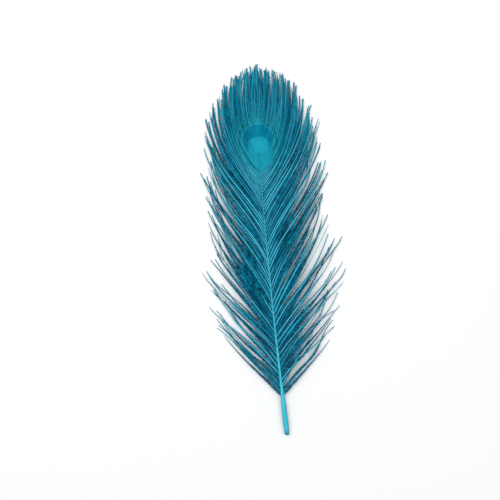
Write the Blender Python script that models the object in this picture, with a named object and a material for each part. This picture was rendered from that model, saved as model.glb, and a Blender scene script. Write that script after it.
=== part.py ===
"""A dyed peacock eye feather lying face up: the quill points to -Y, the eye and the fringe to +Y.

Three pieces: the shaft, from the cut quill to the thread of rachis that dies out in the eye, and a
vane of barbs on each side of it. Each vane is one thin web near the shaft that parts into locks of
barbs further out. Distances "along" run from the cut end of the quill towards the fringe, and
distances "out" run sideways from the shaft. Metres, +Z up, resting on z = 0.
"""

import math

import bmesh
import bpy
import numpy as np

LENGTH = 0.290  # cut end of the quill to the last tip of the fringe
SHAFT_LENGTH = 0.246  # the rachis dies out in the upper part of the eye
SHAFT_BOW = 0.0024  # sideways bow of the shaft, towards -X
SHAFT_ARCH = 0.0042  # how far the middle of the shaft stands above its ends
SHAFT_POINTS = 44
SHAFT_ROUNDNESS = 2

# Shaft radius at distances along it: the quill, the rachis below the eye, the thread in the eye.
SHAFT_ALONG = (0.0, 0.006, 0.040, 0.075, 0.105, 0.160, 0.246)
SHAFT_RADIUS = (0.00175, 0.00195, 0.00135, 0.00095, 0.00068, 0.00048, 0.00025)

# The barbs, from the lowest to the one that ends the fringe: where the barb leaves the shaft, its
# heading there in degrees from +Y, how far out and how far along its tip lies, its heading there.
BARB_ROOT = (0.030, 0.060, 0.100, 0.145, 0.180, 0.205, 0.228, 0.245)
BARB_HEADING = (38.0, 33.0, 24.0, 22.0, 33.0, 48.0, 37.0, 2.0)
TIP_OUT = (0.0460, 0.0548, 0.0455, 0.0450, 0.0378, 0.0225, 0.0115, 0.0008)
TIP_ALONG = (0.0800, 0.1240, 0.1820, 0.2240, 0.2600, 0.2780, 0.2860, LENGTH)
TIP_HEADING = (38.0, 32.0, 20.0, 12.0, 2.0, -3.0, -2.0, 0.0)
BARB_TURN = 3.0  # degrees that all barbs are turned towards +X about their roots

LOCKS = 26  # locks of barbs in each vane
LOCK_CROWDING = 1.35  # above 1 the locks leave the shaft closer together near the eye
LOCK_SHARE = 0.74  # share of its pitch that a lock fills where it leaves the web
LOCK_TAPER = 0.60  # share of its width that a lock loses by its tip
LOCK_ROWS = 11  # faces along a barb
WEB_AT_QUILL = 0.22  # share of a barb's length inside the web, at the lowest barb
WEB_AT_EYE = 0.74  # the same around the eye
WEB_EYE_ALONG = 0.205

VANE_THICKNESS = 0.0008
TIP_HEIGHT = VANE_THICKNESS / 2
DROOP_POWER = 2.0  # the vane leaves the shaft level and bends down towards its edge
CLEARANCE = 0.0004  # between the shaft and a vane, and between the vanes past the shaft's end


def through(values, stations, x):
    """A smooth curve through the values at the stations: a cubic between each two of them, whose
    slope at a station is the slope between its neighbours."""
    stations = np.asarray(stations, float)
    values = np.asarray(values, float)
    x = np.clip(np.asarray(x, float), stations[0], stations[-1])
    slopes = np.gradient(values, stations)
    i = np.clip(np.searchsorted(stations, x, side="right") - 1, 0, len(stations) - 2)
    span = stations[i + 1] - stations[i]
    t = (x - stations[i]) / span
    return (
        (1 + 2 * t) * (1 - t) ** 2 * values[i]
        + t * (1 - t) ** 2 * span * slopes[i]
        + t**2 * (3 - 2 * t) * values[i + 1]
        + t**2 * (t - 1) * span * slopes[i + 1]
    )


def shaft_radius(along):
    return through(SHAFT_RADIUS, SHAFT_ALONG, along)


def shaft_x(along):
    return -SHAFT_BOW * np.sin(np.pi * np.asarray(along) / LENGTH)


def shaft_z(along):
    """Height of the shaft's centre line: it rests on its quill and arches over the middle."""
    return shaft_radius(along) + SHAFT_ARCH * np.sin(np.pi * np.asarray(along) / LENGTH)


def toward(heading, reach):
    """A vector, outwards and along, of that length and heading from the shaft's direction."""
    return reach * np.array((math.sin(heading), math.cos(heading)))


def barb_point(root, t, side):
    """The point at share t of the barb that leaves the shaft at root: a Hermite curve seen from
    above, bending down to the surface at its tip. side is -1 for the left vane, 1 for the right."""
    start = np.array((shaft_radius(root) + CLEARANCE, root))
    tip = np.array((through(TIP_OUT, BARB_ROOT, root), through(TIP_ALONG, BARB_ROOT, root)))
    reach = np.linalg.norm(tip - start)
    turn = math.radians(side * BARB_TURN)
    end = start + toward(math.atan2(*(tip - start)) + turn, reach)
    leave = toward(math.radians(through(BARB_HEADING, BARB_ROOT, root)) + turn, reach)
    arrive = toward(math.radians(through(TIP_HEADING, BARB_ROOT, root)) + turn, reach)
    out, along = (
        (1 + 2 * t) * (1 - t) ** 2 * start
        + t * (1 - t) ** 2 * leave
        + t**2 * (3 - 2 * t) * end
        + t**2 * (t - 1) * arrive
    )
    root_height = float(shaft_z(root))
    height = TIP_HEIGHT + (root_height - TIP_HEIGHT) * (1 - t**DROOP_POWER)
    return float(shaft_x(along)) + side * out, along, height


def root_at(q):
    """Where the barb at share q of the vane leaves the shaft."""
    crowded = 1 - (1 - q) ** LOCK_CROWDING
    return BARB_ROOT[0] + (BARB_ROOT[-1] - BARB_ROOT[0]) * crowded


def web_rows(root):
    """How many rows of faces are web at this barb, the rest being free locks."""
    toward_eye = min(1.0, (root - BARB_ROOT[0]) / (WEB_EYE_ALONG - BARB_ROOT[0]))
    return round(LOCK_ROWS * (WEB_AT_QUILL + (WEB_AT_EYE - WEB_AT_QUILL) * toward_eye**2))


def material(name, colour, roughness):
    made = bpy.data.materials.new(name)
    made.use_nodes = True
    shader = made.node_tree.nodes["Principled BSDF"]
    shader.inputs["Base Color"].default_value = (*colour, 1.0)
    shader.inputs["Roughness"].default_value = roughness
    shader.inputs["Metallic"].default_value = 0.0
    return made


def make_shaft(parent):
    """A tube along the arched centre line, tapering from the quill to a thread, cut square."""
    curve = bpy.data.curves.new("shaft", "CURVE")
    curve.dimensions = "3D"
    curve.bevel_depth = 1.0
    curve.bevel_resolution = SHAFT_ROUNDNESS
    curve.use_fill_caps = True
    curve.materials.append(material("shaft", (0.06, 0.42, 0.52), 0.35))
    spline = curve.splines.new("POLY")
    spline.points.add(SHAFT_POINTS - 1)
    for point, along in zip(spline.points, np.linspace(0.0, SHAFT_LENGTH, SHAFT_POINTS)):
        point.co = (shaft_x(along), along, shaft_z(along), 1.0)
        point.radius = shaft_radius(along)
    shaft = bpy.data.objects.new("shaft", curve)
    bpy.context.collection.objects.link(shaft)
    shaft.parent = parent


def make_vane(name, side, colour, parent):
    """A sheet of barbs on one side of the shaft: columns follow the barbs, a lock lies between an
    even column and the next, and the faces between two locks stop where the web ends."""
    sheet = bmesh.new()
    columns = []
    for lock in range(LOCKS):
        middle = (lock + LOCK_SHARE / 2) / LOCKS
        for edge in (-1, 1):
            column = []
            for row in range(LOCK_ROWS + 1):
                t = row / LOCK_ROWS
                width = LOCK_SHARE * (1 - LOCK_TAPER * t**3)
                root = root_at(min(1.0, max(0.0, middle + edge * width / 2 / LOCKS)))
                column.append(sheet.verts.new(barb_point(root, t, side)))
            columns.append(column)
    for i, (low, high) in enumerate(zip(columns, columns[1:])):
        is_lock = i % 2 == 0
        root = root_at((i + 1) / 2 / LOCKS)
        for row in range(LOCK_ROWS if is_lock else web_rows(root)):
            corners = [low[row], low[row + 1], high[row + 1], high[row]]
            sheet.faces.new(corners if side > 0 else corners[::-1])
    mesh = bpy.data.meshes.new(name)
    sheet.to_mesh(mesh)
    sheet.free()
    mesh.materials.append(material(name, colour, 0.55))
    mesh.shade_smooth()
    vane = bpy.data.objects.new(name, mesh)
    bpy.context.collection.objects.link(vane)
    vane.parent = parent
    wall = vane.modifiers.new("thickness", "SOLIDIFY")
    wall.thickness = VANE_THICKNESS
    wall.offset = 0.0


def lay_at_origin(feather):
    """Moves the whole feather so that its box stands on z = 0 with its middle over the origin."""
    bpy.context.view_layer.update()
    graph = bpy.context.evaluated_depsgraph_get()
    points = []
    for piece in feather.children:
        shape = piece.evaluated_get(graph)
        points += [piece.matrix_world @ vertex.co for vertex in shape.to_mesh().vertices]
        shape.to_mesh_clear()
    low, high = np.min(points, axis=0), np.max(points, axis=0)
    feather.location = (-(low[0] + high[0]) / 2, -(low[1] + high[1]) / 2, -low[2])


def main():
    for old in list(bpy.data.objects):
        bpy.data.objects.remove(old, do_unlink=True)
    feather = bpy.data.objects.new("feather", None)
    bpy.context.collection.objects.link(feather)
    make_shaft(feather)
    make_vane("left_vane", -1, (0.02, 0.22, 0.28), feather)
    make_vane("right_vane", 1, (0.02, 0.24, 0.30), feather)
    lay_at_origin(feather)


main()
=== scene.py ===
"""A dyed peacock eye feather lying face up on a pale floor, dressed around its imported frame.

The quill points to -Y and the eye to +Y. Every barb is a path computed for all barbs of a vane at
once, and what grows on it, its stem, its web and its barbules, is a profile carried along the paths.
Distances "along" run from the cut end of the quill towards the fringe, and distances "out" run
sideways from the shaft. Everything is in metres.
"""

import logging
from dataclasses import dataclass, field
from enum import Enum
from typing import Any, Mapping, Sequence

import bpy
import numpy as np
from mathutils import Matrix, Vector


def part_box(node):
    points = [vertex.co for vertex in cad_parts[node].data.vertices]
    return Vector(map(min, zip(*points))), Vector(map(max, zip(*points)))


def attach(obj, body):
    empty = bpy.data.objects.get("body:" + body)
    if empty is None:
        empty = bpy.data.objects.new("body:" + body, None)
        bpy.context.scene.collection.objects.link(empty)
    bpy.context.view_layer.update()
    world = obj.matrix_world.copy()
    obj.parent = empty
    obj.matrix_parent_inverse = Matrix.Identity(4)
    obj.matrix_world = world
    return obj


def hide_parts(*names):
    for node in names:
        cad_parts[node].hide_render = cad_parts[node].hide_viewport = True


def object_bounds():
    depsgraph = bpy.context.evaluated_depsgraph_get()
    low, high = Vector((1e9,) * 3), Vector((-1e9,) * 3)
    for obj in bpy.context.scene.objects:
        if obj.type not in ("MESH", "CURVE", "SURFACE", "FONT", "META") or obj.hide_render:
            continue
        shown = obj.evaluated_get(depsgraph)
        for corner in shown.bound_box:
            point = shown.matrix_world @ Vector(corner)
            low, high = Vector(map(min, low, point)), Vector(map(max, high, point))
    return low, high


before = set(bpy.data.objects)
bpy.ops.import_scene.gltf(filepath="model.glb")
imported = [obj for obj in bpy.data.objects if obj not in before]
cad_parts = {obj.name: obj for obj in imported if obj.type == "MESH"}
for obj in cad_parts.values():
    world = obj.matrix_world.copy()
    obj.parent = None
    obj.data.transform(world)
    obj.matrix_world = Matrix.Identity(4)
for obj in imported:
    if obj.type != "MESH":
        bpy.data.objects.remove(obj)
CAD_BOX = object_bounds()

Array = np.ndarray
log = logging.getLogger("feather")

BODY = "root"
MM = 0.001
UP = np.array((0.0, 0.0, 1.0))
BARB_DATA = "barb"  # per point: share along the barb, distance from its stem, the barb's chance
BAKE_MAP = "OFBake"
STEM_ON_MAP = 0.3  # how much of a barb's row on the bake's map its stem takes, from the middle out
NO_QUADS = np.empty((0, 4), int)
NO_TRIANGLES = np.empty((0, 3), int)


class Side(Enum):
    """The vane that a barb belongs to, with the sign of its direction out of the shaft."""

    LEFT = -1
    RIGHT = 1


# --------------------------------------------------------------------------- curves and meshes


def srgb(red: float, green: float, blue: float) -> tuple[float, float, float, float]:
    """A display colour of 0 to 255 a channel as the linear colour that shaders use.

    Args:
        red, green, blue: the display values.

    Returns:
        Linear red, green, blue and an alpha of 1.
    """
    shown = np.array((red, green, blue)) / 255
    linear = np.where(shown <= 0.04045, shown / 12.92, ((shown + 0.055) / 1.055) ** 2.4)
    return (*(float(c) for c in linear), 1.0)


def through(values: Sequence[float], stations: Sequence[float], x: Array) -> Array:
    """A smooth curve through values at stations.

    Between two stations it is the cubic whose slope at each station is the slope between that
    station's neighbours.

    Args:
        values: what the curve is at each station.
        stations: where the values hold, ascending.
        x: where to read the curve.

    Returns:
        The curve at x, held level past its ends.
    """
    at, known = np.asarray(stations, float), np.asarray(values, float)
    x = np.clip(np.asarray(x, float), at[0], at[-1])
    slopes = np.gradient(known, at)
    i = np.clip(np.searchsorted(at, x, side="right") - 1, 0, len(at) - 2)
    span = at[i + 1] - at[i]
    t = (x - at[i]) / span
    rise = (1 + 2 * t) * (1 - t) ** 2 * known[i] + t**2 * (3 - 2 * t) * known[i + 1]
    return rise + span * t * (1 - t) * ((1 - t) * slopes[i] - t * slopes[i + 1])


def eased(low: float, high: float, x: Array) -> Array:
    """0 below low, 1 above high and a cubic ease between them; high may be below low."""
    t = np.clip((x - low) / (high - low), 0.0, 1.0)
    return t * t * (3 - 2 * t)


def toward(heading: Array, reach: Array) -> Array:
    """Vectors of that length, outwards and along, that head so many radians out from +Y."""
    return reach[:, None] * np.stack([np.sin(heading), np.cos(heading)], -1)


def unit(vectors: Array) -> Array:
    """The vectors along the last axis, scaled to length 1."""
    return vectors / np.maximum(np.linalg.norm(vectors, axis=-1, keepdims=True), 1e-12)


@dataclass
class Surface:
    """Points and faces on their way to becoming a mesh.

    The faces are rows of point numbers, quads and triangles apart. data is a vector per point for
    the materials, and uv is each point's place on the bake's image.
    """

    points: Array
    quads: Array
    triangles: Array
    data: Array
    uv: Array

    @staticmethod
    def joined(parts: Sequence["Surface"]) -> "Surface":
        """All the parts as one surface, their point numbers moved up to follow each other.

        Args:
            parts: the surfaces to join, in order.

        Returns:
            The one surface.
        """
        offsets = np.cumsum([0] + [len(part.points) for part in parts[:-1]])
        return Surface(
            np.concatenate([part.points for part in parts]),
            np.concatenate([part.quads + shift for part, shift in zip(parts, offsets)]),
            np.concatenate([part.triangles + shift for part, shift in zip(parts, offsets)]),
            np.concatenate([part.data for part in parts]),
            np.concatenate([part.uv for part in parts]),
        )

    def mesh(self, name: str) -> bpy.types.Mesh:
        """Writes the arrays into a new mesh.

        Args:
            name: the mesh's name.

        Returns:
            The mesh, with smooth quads, flat triangles, the points' data and the bake's map.
        """
        made = bpy.data.meshes.new(name)
        corners = np.concatenate([self.quads.ravel(), self.triangles.ravel()]).astype(np.int32)
        sizes = np.repeat((4, 3), (len(self.quads), len(self.triangles)))
        made.vertices.add(len(self.points))
        made.vertices.foreach_set("co", self.points.astype(np.float32).ravel())
        made.loops.add(len(corners))
        made.loops.foreach_set("vertex_index", corners)
        made.polygons.add(len(sizes))
        made.polygons.foreach_set("loop_start", (np.cumsum(sizes) - sizes).astype(np.int32))
        made.polygons.foreach_set("use_smooth", sizes == 4)
        stored = made.attributes.new(BARB_DATA, "FLOAT_VECTOR", "POINT")
        stored.data.foreach_set("vector", self.data.astype(np.float32).ravel())
        places = made.uv_layers.new(name=BAKE_MAP)
        places.uv.foreach_set("vector", self.uv[corners].astype(np.float32).ravel())
        made.update(calc_edges=True)
        return made


def tubes(
    paths: Array, across: Array, above: Array, profile: Array, half: Array, deep: Array
) -> tuple[Array, Array]:
    """Carries a closed profile along every path at once, and closes both ends.

    A point is its path's point, plus the profile's first coordinate times half across the path,
    plus its second coordinate times deep above it. The profile runs anticlockwise seen from the
    path's start with across to the right, so the faces point outwards.

    Args:
        paths: the points of N paths of M stations, (N, M, 3).
        across, above: unit vectors at each station, (N, M, 3).
        profile: K profile points, (K, 2) or station by station (M, K, 2), K even.
        half, deep: the profile's scale across and above at each station, (N, M).

    Returns:
        The points (N, M, K, 3) and the quads (F, 4) that number them in that order.
    """
    sideways = (half[:, :, None] * profile[..., 0])[..., None] * across[:, :, None]
    upwards = (deep[:, :, None] * profile[..., 1])[..., None] * above[:, :, None]
    points = paths[:, :, None] + sideways + upwards
    count, stations, around = points.shape[:3]
    number = np.arange(count * stations * around).reshape(count, stations, around)
    after = np.roll(number, -1, axis=2)
    walls = np.stack([number[:, :-1], number[:, 1:], after[:, 1:], after[:, :-1]], -1)
    strip = np.arange(around // 2 - 1)
    lid = np.stack([strip, strip + 1, around - 2 - strip, around - 1 - strip], -1)
    ends = (number[:, 0][:, lid], number[:, -1][:, lid[:, ::-1]])
    return points, np.concatenate([walls.reshape(-1, 4)] + [end.reshape(-1, 4) for end in ends])


def piece(
    name: str, surface: Surface, finish: bpy.types.Material, slot: str, *nodes: str
) -> None:
    """Puts a finished surface into the scene as a piece that rides on the feather.

    Args:
        name: the piece's name.
        surface: its points and faces, in place.
        finish: its material.
        slot: the name of a material slot; not used.
        nodes: the CAD nodes that it stands for.
    """
    made = bpy.data.objects.new(name, surface.mesh(name))
    made.data.materials.append(finish)
    bpy.context.collection.objects.link(made)
    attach(made, BODY)
    if nodes:
        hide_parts(*nodes)
    log.info("%s: %d triangles", name, 2 * len(surface.quads) + len(surface.triangles))


# --------------------------------------------------------------------------- shader expressions


class Value:
    """A shader socket that takes part in Python arithmetic.

    An expression on values adds the Math nodes that compute it.
    """

    def __init__(self, nodes: "Nodes", socket: bpy.types.NodeSocket) -> None:
        """Wraps socket, an output in the tree of nodes."""
        self.nodes = nodes
        self.socket = socket

    def _math(self, operation: str, *inputs: Any) -> "Value":
        """A Math node of that operation on the inputs, numbers or values, as a new value."""
        return self.nodes.add("ShaderNodeMath", {"operation": operation}, dict(enumerate(inputs)))

    def __add__(self, other: Any) -> "Value":
        """self + other."""
        return self._math("ADD", self, other)

    __radd__ = __add__

    def __sub__(self, other: Any) -> "Value":
        """self - other."""
        return self._math("SUBTRACT", self, other)

    def __rsub__(self, other: Any) -> "Value":
        """other - self."""
        return self._math("SUBTRACT", other, self)

    def __mul__(self, other: Any) -> "Value":
        """self * other."""
        return self._math("MULTIPLY", self, other)

    __rmul__ = __mul__

    def __truediv__(self, other: Any) -> "Value":
        """self / other."""
        return self._math("DIVIDE", self, other)

    def __rtruediv__(self, other: Any) -> "Value":
        """other / self."""
        return self._math("DIVIDE", other, self)

    def __pow__(self, other: Any) -> "Value":
        """self ** other, for a self that is not negative."""
        return self._math("POWER", self, other)

    def __neg__(self) -> "Value":
        """-self."""
        return self._math("MULTIPLY", self, -1.0)

    def __abs__(self) -> "Value":
        """The size of self without its sign."""
        return self._math("ABSOLUTE", self)

    def most(self, other: Any) -> "Value":
        """The larger of self and other."""
        return self._math("MAXIMUM", self, other)

    def sine(self) -> "Value":
        """The sine of self in radians."""
        return self._math("SINE", self)

    def root(self) -> "Value":
        """The square root of self."""
        return self._math("SQRT", self)

    def bell(self, width: float) -> "Value":
        """A bell curve of self: 1 at 0 and 1/e at width on either side."""
        scaled = self / width
        return self._math("EXPONENT", -(scaled * scaled))

    def eased(self, low: float, high: float) -> "Value":
        """0 at low and beyond, 1 at high and beyond, with a smooth ease between.

        Args:
            low: where the result is 0.
            high: where the result is 1; it may be below low.

        Returns:
            The eased value.
        """
        settings = {"interpolation_type": "SMOOTHSTEP"}
        inputs = {"Value": self, "From Min": min(low, high), "From Max": max(low, high)}
        risen = self.nodes.add("ShaderNodeMapRange", settings, inputs)
        return risen if high > low else 1.0 - risen


class Nodes:
    """The node tree of one material."""

    def __init__(self, name: str) -> None:
        """Makes a material, empty but for its shader and output.

        Args:
            name: the material's name.
        """
        self.material = bpy.data.materials.new(name)
        self.material.use_nodes = True
        self.tree = self.material.node_tree
        self.shader = self.tree.nodes["Principled BSDF"]

    def add(self, kind: str, settings: Mapping[str, Any], inputs: Mapping, output: Any = 0) -> Value:
        """Adds any node.

        Args:
            kind: the node's type.
            settings: its properties, such as a Math node's operation, set first.
            inputs: a number, colour or Value for each named or numbered socket.
            output: the socket to return, by name or number.

        Returns:
            That output as a value.
        """
        node = self.tree.nodes.new(kind)
        for name, setting in settings.items():
            setattr(node, name, setting)
        for name, given in inputs.items():
            self.feed(node.inputs[name], given)
        return Value(self, node.outputs[output])

    def feed(self, socket: bpy.types.NodeSocket, given: Any) -> None:
        """Links a socket or sets it.

        Args:
            socket: the node's input.
            given: the Value to link it to, or the number or colour to set it to.
        """
        if isinstance(given, Value):
            self.tree.links.new(given.socket, socket)
        else:
            socket.default_value = given

    def vector(self, x: Any, y: Any, z: Any) -> Value:
        """A vector of three numbers or values."""
        return self.add("ShaderNodeCombineXYZ", {}, {0: x, 1: y, 2: z})

    def parts(self, vector: Value) -> tuple[Value, Value, Value]:
        """The three parts of a vector."""
        split = self.add("ShaderNodeSeparateXYZ", {}, {0: vector}).socket.node
        return tuple(Value(self, socket) for socket in split.outputs)

    def place(self) -> Value:
        """The point's place on the object, in metres."""
        return self.add("ShaderNodeTexCoord", {}, {}, "Object")

    def barb(self) -> tuple[Value, Value, Value]:
        """The point's share along its barb, its distance from the stem and the barb's chance."""
        settings = {"attribute_name": BARB_DATA, "attribute_type": "GEOMETRY"}
        return self.parts(self.add("ShaderNodeAttribute", settings, {}, "Vector"))

    def noise(self, vector: Value, scale: float, detail: float = 2.0, rough: float = 0.5) -> Value:
        """Smooth noise of 0 to 1 at the vector's place, scale waves to a unit."""
        inputs = {"Vector": vector, "Scale": scale, "Detail": detail, "Roughness": rough}
        return self.add("ShaderNodeTexNoise", {}, inputs, 0)

    def mix(self, share: Any, first: Any, second: Any, blend: str = "MIX") -> Value:
        """Mixes two colours, share 0 giving the first and share 1 the blend with the second."""
        settings = {"data_type": "RGBA", "blend_type": blend}
        return self.add("ShaderNodeMix", settings, {0: share, 6: first, 7: second}, 2)

    def dress(self, **sockets: Any) -> bpy.types.Material:
        """Feeds the shader's sockets.

        Args:
            sockets: a number, colour or Value for each socket, "_" standing for a space.

        Returns:
            The finished material.
        """
        for name, given in sockets.items():
            self.feed(self.shader.inputs[name.replace("_", " ")], given)
        return self.material

    def shaded(self, shade: Value, colour: Value) -> Value:
        """The colour with all three channels multiplied by shade."""
        return self.mix(1.0, colour, self.vector(shade, shade, shade), "MULTIPLY")

    def bump(self, height: Value, strength: float, distance: float) -> Value:
        """A normal that follows height, which is 0 to 1 over distance in metres."""
        inputs = {"Strength": strength, "Distance": distance, "Height": height}
        return self.add("ShaderNodeBump", {}, inputs)


# --------------------------------------------------------------------------- the feather's plan


@dataclass(frozen=True)
class Plan:
    """The lie of the shaft and of the barbs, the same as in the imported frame.

    The barb stations run from the lowest barb to the one that ends the fringe. Their roots and tips
    are shares of the feather's length, the tips' distances out are shares of its half width, and
    headings are degrees from +Y.
    """

    cut: tuple[float, float]  # x and y of the middle of the cut end
    length: float
    half_width: float
    shaft_length: float
    bow: float = 2.4 * MM
    arch: float = 4.2 * MM
    radius_along: tuple = (0.0, 0.006, 0.040, 0.075, 0.105, 0.160, 0.246)
    radius: tuple = (0.00175, 0.00195, 0.00135, 0.00095, 0.00068, 0.00048, 0.00025)
    barb_root: tuple = (0.103, 0.207, 0.345, 0.500, 0.621, 0.707, 0.786, 0.845)
    barb_heading: tuple = (38.0, 33.0, 24.0, 22.0, 33.0, 48.0, 37.0, 2.0)
    tip_out: tuple = (0.841, 1.002, 0.832, 0.823, 0.691, 0.411, 0.210, 0.015)
    tip_along: tuple = (0.276, 0.428, 0.628, 0.772, 0.897, 0.959, 0.986, 1.0)
    tip_heading: tuple = (38.0, 32.0, 20.0, 12.0, 2.0, -3.0, -2.0, 0.0)
    barb_turn: float = 3.0  # degrees that all barbs are turned towards +X about their roots
    eye_along: float = 0.779

    @classmethod
    def from_frame(cls) -> "Plan":
        """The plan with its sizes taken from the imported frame."""
        low, high = CAD_BOX
        shaft_low, shaft_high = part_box("shaft")
        return cls(
            cut=(shaft_high.x - max(cls.radius), shaft_low.y),
            length=high.y - shaft_low.y,
            half_width=(high.x - low.x) / 2,
            shaft_length=shaft_high.y - shaft_low.y,
        )

    def shaft_radius(self, along: Array) -> Array:
        """The shaft's radius at distances along it."""
        return through(self.radius, self.radius_along, along)

    def shaft_line(self, along: Array) -> Array:
        """The shaft's centre line: a half sine of bow towards -X and of arch over the surface.

        Args:
            along: distances from the cut end.

        Returns:
            Points, one more axis than along.
        """
        wave = np.sin(np.pi * along / self.length)
        x = self.cut[0] - self.bow * wave
        return np.stack([x, self.cut[1] + along, self.shaft_radius(along) + self.arch * wave], -1)

    def eye(self) -> tuple[float, float]:
        """x and y of the middle of the eye's dark pupil."""
        x, y, _ = self.shaft_line(np.array(self.eye_along * self.length))
        return float(x), float(y)

    def at_barb(self, values: Sequence[float], root: Array) -> Array:
        """A value of the barb stations for barbs that leave the shaft at root."""
        return through(values, self.barb_root, root / self.length)


# --------------------------------------------------------------------------- barbs


@dataclass
class Barbs:
    """Some neighbouring barbs of one vane, from the lowest up, as paths of M stations."""

    paths: Array  # (N, M, 3)
    chance: Array  # (N,) a random number a barb, by turns under and over a half
    full: Array  # (N,) 1 where flue and barbules stay full up to the tip, 0 where they die out,
    # and down to -1 where the barbules are short as well
    web: Array  # (N, M) 1 where the barb is zipped into the web round the eye, 0 where it is free

    def __post_init__(self) -> None:
        """Works out the directions along, across and above the paths, and the paths' lengths."""
        self.share = np.linspace(0.0, 1.0, self.paths.shape[1])
        self.ahead = unit(np.gradient(self.paths, axis=1))
        self.across = unit(np.cross(self.ahead, UP))
        self.above = np.cross(self.across, self.ahead)
        self.reach = np.linalg.norm(np.diff(self.paths, axis=1), axis=2).sum(axis=1)

    def pitch(self) -> Array:
        """How far the neighbouring barbs lie from each station, measured across the barb."""
        return np.abs((np.gradient(self.paths, axis=0) * self.across).sum(axis=2))

    def some(self, chosen: slice) -> "Barbs":
        """A run of these barbs."""
        return Barbs(self.paths[chosen], self.chance[chosen], self.full[chosen], self.web[chosen])

    def at(self, known: Array, barb: Array, share: Array) -> Array:
        """What is known at the stations, read at shares along some barbs, linear between stations.

        Args:
            known: a number or a vector for each station of each barb, (N, M) or (N, M, 3).
            barb: the numbers of the barbs.
            share: how far along each of them to read.

        Returns:
            The numbers or vectors.
        """
        place = share * (len(self.share) - 1)
        low = np.minimum(place.astype(int), len(self.share) - 2)
        part = (place - low).reshape(-1, *[1] * (known.ndim - 2))
        return known[barb, low] * (1 - part) + known[barb, low + 1] * part

    def uv(self, barb: Array, share: Array, cross: Array) -> Array:
        """The bake's map: every barb has a row of it, less a margin all round.

        Args:
            barb: the numbers of the points' barbs.
            share: how far along its barb each point is.
            cross: how far across the row it is, from -1 to 1.

        Returns:
            u, which runs along the barb, and v, which runs across the rows.
        """
        end, edge = 0.02, 0.04
        u = end + (1 - 2 * end) * np.clip(share, 0.0, 1.0)
        v = barb + 0.5 + (0.5 - edge) * np.clip(cross, -1.0, 1.0)
        return np.stack([u, v / len(self.paths)], -1)


@dataclass(frozen=True)
class Growth:
    """How one vane's barbs grow: their spacing, their disorder and their waves.

    Lists follow the stations in along, distances from the cut end of the quill. The lowest barbs
    stand far apart and stray the most, with short barbules. Those round the eye lie close and even.
    """

    along: tuple = (0.030, 0.100, 0.150, 0.180, 0.200, 0.225, 0.246)
    spacing: tuple = (2.5 * MM, 2.2 * MM, 1.85 * MM, 1.50 * MM, 1.00 * MM, 0.62 * MM, 0.40 * MM)
    stray_heading: tuple = (0.085, 0.060, 0.050, 0.030, 0.012, 0.008, 0.010)  # radians
    stray_length: tuple = (0.14, 0.11, 0.09, 0.07, 0.08, 0.12, 0.15)
    wave: tuple = (3.2 * MM, 2.7 * MM, 2.1 * MM, 1.5 * MM, 1.1 * MM, 1.0 * MM, 1.0 * MM)
    splay: tuple = (2.6 * MM, 2.4 * MM, 2.2 * MM, 2.0 * MM, 1.8 * MM, 1.6 * MM, 1.2 * MM)  # at the tips
    lift: tuple = (2.2 * MM, 2.0 * MM, 1.6 * MM, 1.0 * MM, 0.4 * MM, 0.3 * MM, 0.3 * MM)
    full: tuple = (-0.7, 0.0, 0.25, 0.7, 1.0, 1.0, 1.0)  # below 0 the barbules are short
    own: tuple = (0.70, 0.60, 0.45, 0.30, 0.20, 0.20, 0.20)  # disorder not shared with neighbours
    drift: int = 9  # barbs over which the shared disorder changes
    root_stray: float = 0.2  # share of the spacing by which a root may be off
    clump: float = 0.35  # how far the tips of a lock draw together
    clump_from: float = 0.45  # share along the barb where they start to
    clump_along: float = 0.3  # how much of that goes lengthwise
    lock: float = 0.32  # chance that a barb starts a new lock
    stations: int = 32
    fine: int = 2000  # steps in which the spacing is summed up

    def roots(self, rng: np.random.Generator) -> Array:
        """Where the barbs leave the shaft.

        The number of barbs below a point is the integral of 1 / spacing, and a barb stands
        wherever that number passes a half, give or take the stray.

        Args:
            rng: where the strays are drawn from.

        Returns:
            Distances from the cut end, ascending.
        """
        fine = np.linspace(self.along[0], self.along[-1], self.fine)
        density = 1 / through(self.spacing, self.along, fine)
        number = np.concatenate([[0], np.cumsum((density[1:] + density[:-1]) / 2 * np.diff(fine))])
        wanted = np.arange(int(number[-1])) + 0.5
        stray = rng.uniform(-self.root_stray, self.root_stray, len(wanted))
        return np.interp(wanted + stray, number, fine)

    def locks(self, count: int, rng: np.random.Generator) -> Array:
        """A lock number for each barb: neighbours share it until a new lock starts."""
        return np.cumsum(rng.uniform(size=count) < self.lock)

    def disorder(self, own: Array, rng: np.random.Generator) -> Array:
        """A random amount for each barb, partly shared with its neighbours.

        The shared part is a smooth curve through normal draws that stand drift barbs apart.

        Args:
            own: the share that is each barb's own, a normal draw as well.
            rng: where the draws come from.

        Returns:
            The amounts, with a spread of about 1.
        """
        place = np.arange(len(own)) / self.drift
        shared = through(rng.normal(size=int(place[-1]) + 2), np.arange(int(place[-1]) + 2), place)
        return (1 - own) * shared + own * rng.normal(size=len(own))


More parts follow.
